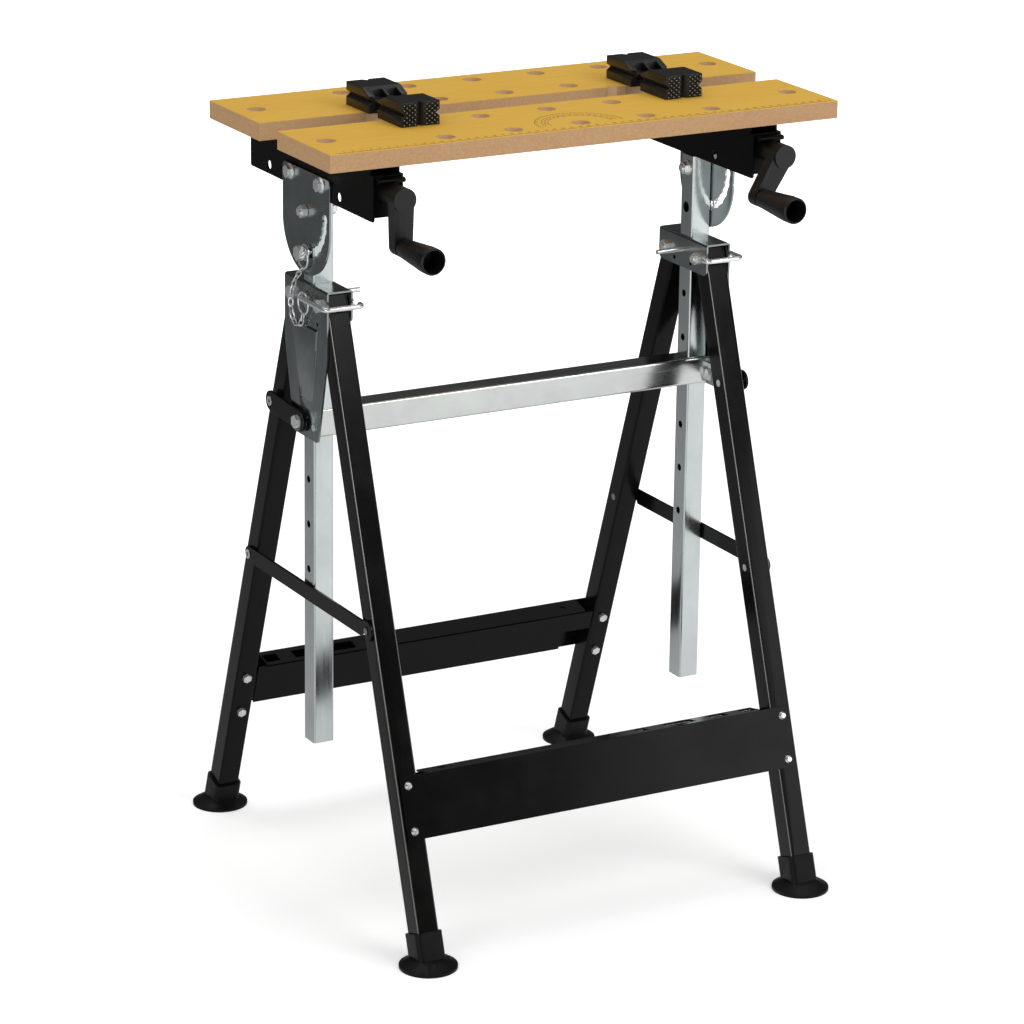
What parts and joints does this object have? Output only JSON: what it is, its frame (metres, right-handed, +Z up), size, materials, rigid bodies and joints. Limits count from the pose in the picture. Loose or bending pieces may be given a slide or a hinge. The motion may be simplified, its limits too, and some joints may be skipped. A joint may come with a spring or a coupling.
{
  "type": "folding workbench",
  "caption": "Folding workbench with two vise boards on height-adjustable tilting columns, screw cranks, bench dogs and an A-frame of hooked, folding legs.",
  "frame": {"origin": "on the floor, in the middle of the four feet", "axes": "+X along the boards towards the user's right, +Y away from the user who stands at the cranks, +Z up"},
  "size_m": [0.597, 0.574, 0.876],
  "materials": {
    "board": "satin",
    "black_steel": "satin",
    "beam_steel": "satin",
    "zinc_sheet": "satin",
    "bright_tube": "polished",
    "bright_zinc": "bright",
    "black_plastic": "matte",
    "foot_rubber": "matte"
  },
  "bodies": {
    "head": {"left_bracket": "zinc_sheet", "right_bracket": "zinc_sheet", "crossbar": "bright_tube", "crossbar_bolts": "bright_zinc", "leg_pivot_bolts": "bright_zinc", "leg_pivot_nuts": "bright_zinc", "link_hook_bolts": "bright_zinc"},
    "front_legs": {"front_left_leg": "black_steel", "front_right_leg": "black_steel", "front_stretcher": "black_steel", "front_stretcher_bolts": "bright_zinc", "front_leg_studs": "bright_zinc", "front_left_foot": "foot_rubber", "front_right_foot": "foot_rubber"},
    "rear_legs": {"rear_left_leg": "black_steel", "rear_right_leg": "black_steel", "rear_stretcher": "black_steel", "rear_stretcher_bolts": "bright_zinc", "rear_leg_studs": "bright_zinc", "rear_left_foot": "foot_rubber", "rear_right_foot": "foot_rubber"},
    "left_strap": {"left_strap": "black_steel"},
    "right_strap": {"right_strap": "black_steel"},
    "left_link": {"left_link": "black_steel"},
    "right_link": {"right_link": "black_steel"},
    "left_pin": {"left_lock_pin": "bright_zinc"},
    "right_pin": {"right_lock_pin": "bright_zinc"},
    "columns": {"left_column": "bright_tube", "right_column": "bright_tube", "left_chain": "bright_zinc", "right_chain": "bright_zinc", "tilt_pivot_bolts": "bright_zinc", "tilt_lock_bolts": "bright_zinc"},
    "table": {"left_beam": "beam_steel", "right_beam": "beam_steel", "left_tilt_plate": "zinc_sheet", "right_tilt_plate": "zinc_sheet", "tilt_plate_bolts": "bright_zinc", "front_board": "board", "front_saddles": "beam_steel", "front_saddle_screws": "bright_zinc", "front_end_plates": "beam_steel", "rear_end_plates": "beam_steel"},
    "rear_jaw": {"rear_board": "board", "left_nut_carrier": "beam_steel", "right_nut_carrier": "beam_steel", "rear_saddle_screws": "bright_zinc"},
    "crank_left": {"left_spindle": "bright_zinc", "left_crank": "black_plastic"},
    "crank_right": {"right_spindle": "bright_zinc", "right_crank": "black_plastic"},
    "grip_left": {"left_grip": "black_plastic"},
    "grip_right": {"right_grip": "black_plastic"},
    "front_left_dog": {"front_left_dog": "black_plastic"},
    "front_right_dog": {"front_right_dog": "black_plastic"},
    "rear_left_dog": {"rear_left_dog": "black_plastic"},
    "rear_right_dog": {"rear_right_dog": "black_plastic"}
  },
  "joints": [
    {"name": "front_leg_fold", "type": "hinge", "parent": "head", "child": "front_legs", "pos_m": [0, -0.033, 0.658], "axis": [1, 0, 0], "range_deg": [0, 17]},
    {"name": "rear_leg_fold", "type": "hinge", "parent": "head", "child": "rear_legs", "pos_m": [0, 0.033, 0.658], "axis": [-1, 0, 0], "range_deg": [0, 17]},
    {"name": "left_strap_swing", "type": "hinge", "parent": "rear_legs", "child": "left_strap", "pos_m": [-0.2428, 0.14213, 0.336], "axis": [-1, 0, 0], "range_deg": [0, 41]},
    {"name": "right_strap_swing", "type": "hinge", "parent": "front_legs", "child": "right_strap", "pos_m": [0.2428, -0.14213, 0.336], "axis": [1, 0, 0], "range_deg": [0, 41]},
    {"name": "left_link_swing", "type": "hinge", "parent": "rear_legs", "child": "left_link", "pos_m": [-0.2468, 0.07706, 0.528], "axis": [-1, 0, 0], "range_deg": [0, 68.1]},
    {"name": "right_link_swing", "type": "hinge", "parent": "front_legs", "child": "right_link", "pos_m": [0.2468, -0.07706, 0.528], "axis": [1, 0, 0], "range_deg": [0, 68.1]},
    {"name": "left_pin_pull", "type": "slide", "parent": "head", "child": "left_pin", "axis": [-1, 0, 0], "range_m": [0, 0.065]},
    {"name": "right_pin_pull", "type": "slide", "parent": "head", "child": "right_pin", "axis": [1, 0, 0], "range_m": [0, 0.065]},
    {"name": "height", "type": "slide", "parent": "head", "child": "columns", "axis": [0, 0, 1], "range_m": [0, 0.3]},
    {"name": "table_tilt", "type": "hinge", "parent": "columns", "child": "table", "pos_m": [0, 0, 0.752], "axis": [1, 0, 0], "range_deg": [0, 60]},
    {"name": "left_crank_turn", "type": "hinge", "parent": "table", "child": "crank_left", "pos_m": [-0.224, 0, 0.801], "axis": [0, 1, 0], "range_deg": [-3965, 1085]},
    {"name": "right_crank_turn", "type": "hinge", "parent": "table", "child": "crank_right", "pos_m": [0.224, 0, 0.801], "axis": [0, 1, 0], "range_deg": [-3965, 1085]},
    {"name": "rear_jaw_travel", "type": "slide", "parent": "table", "child": "rear_jaw", "axis": [0, 1, 0], "range_m": [-0.015, 0.055]},
    {"name": "left_grip_turn", "type": "hinge", "parent": "crank_left", "child": "grip_left", "pos_m": [-0.224, -0.2, 0.752], "axis": [0, 1, 0], "continuous": true},
    {"name": "right_grip_turn", "type": "hinge", "parent": "crank_right", "child": "grip_right", "pos_m": [0.19876, -0.2, 0.759], "axis": [0, 1, 0], "continuous": true},
    {"name": "front_left_dog_turn", "type": "hinge", "parent": "table", "child": "front_left_dog", "pos_m": [-0.1565, -0.0711, 0.845], "axis": [0, 0, 1], "continuous": true},
    {"name": "front_right_dog_turn", "type": "hinge", "parent": "table", "child": "front_right_dog", "pos_m": [0.1565, -0.0711, 0.845], "axis": [0, 0, 1], "continuous": true},
    {"name": "rear_left_dog_turn", "type": "hinge", "parent": "rear_jaw", "child": "rear_left_dog", "pos_m": [-0.1565, 0.0198, 0.845], "axis": [0, 0, 1], "continuous": true},
    {"name": "rear_right_dog_turn", "type": "hinge", "parent": "rear_jaw", "child": "rear_right_dog", "pos_m": [0.1565, 0.0198, 0.845], "axis": [0, 0, 1], "continuous": true}
  ],
  "couplings": [
    {"joint": "rear_leg_fold", "follows": "front_leg_fold", "ratio": 1},
    {"joint": "left_strap_swing", "follows": "front_leg_fold", "ratio": 2.4},
    {"joint": "right_strap_swing", "follows": "front_leg_fold", "ratio": 2.4},
    {"joint": "left_link_swing", "follows": "front_leg_fold", "ratio": 4},
    {"joint": "right_link_swing", "follows": "front_leg_fold", "ratio": 4},
    {"joint": "left_crank_turn", "follows": "rear_jaw_travel", "rad_per_m": -1256.6},
    {"joint": "right_crank_turn", "follows": "rear_jaw_travel", "rad_per_m": -1256.6}
  ]
}
